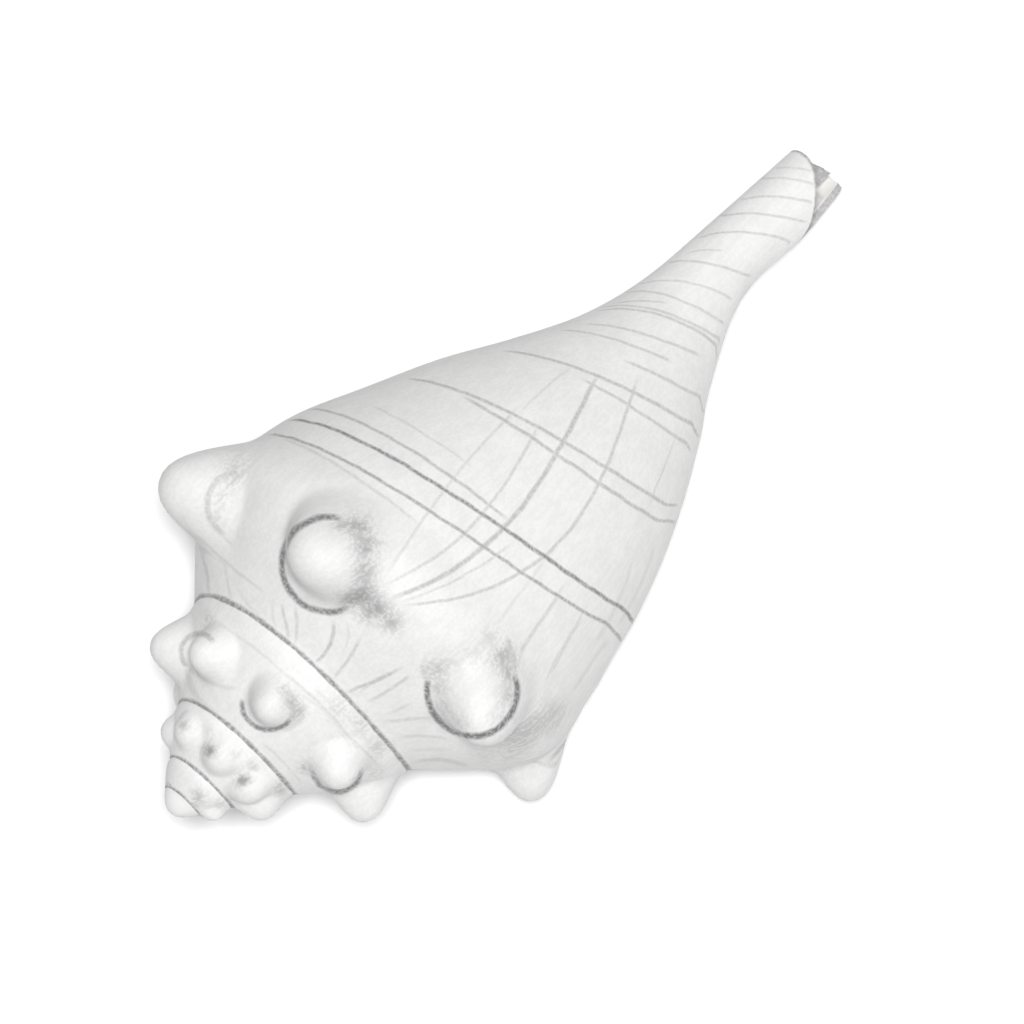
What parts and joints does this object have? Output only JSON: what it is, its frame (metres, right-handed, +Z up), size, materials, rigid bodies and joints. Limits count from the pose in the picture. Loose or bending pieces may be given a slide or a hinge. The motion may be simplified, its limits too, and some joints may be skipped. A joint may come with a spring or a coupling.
{
  "type": "whelk shell",
  "caption": "Adult knobbed whelk shell with a low spire, a broad knobbed shoulder, an open mouth and a long narrow siphonal canal, lying on its mouth.",
  "frame": {"origin": "centre of the bounding box in X and Y, at the height of the surface it lies on", "axes": "+Z up from the surface; +X along the shell's length from the apex of the spire to the tip of the canal; the mouth faces down"},
  "size_m": [0.178, 0.0896, 0.0827],
  "materials": {
    "shell": "satin, chalky off-white limy shell, smoother inside the mouth"
  },
  "bodies": {
    "root": {"shell": "shell"}
  },
  "joints": []
}
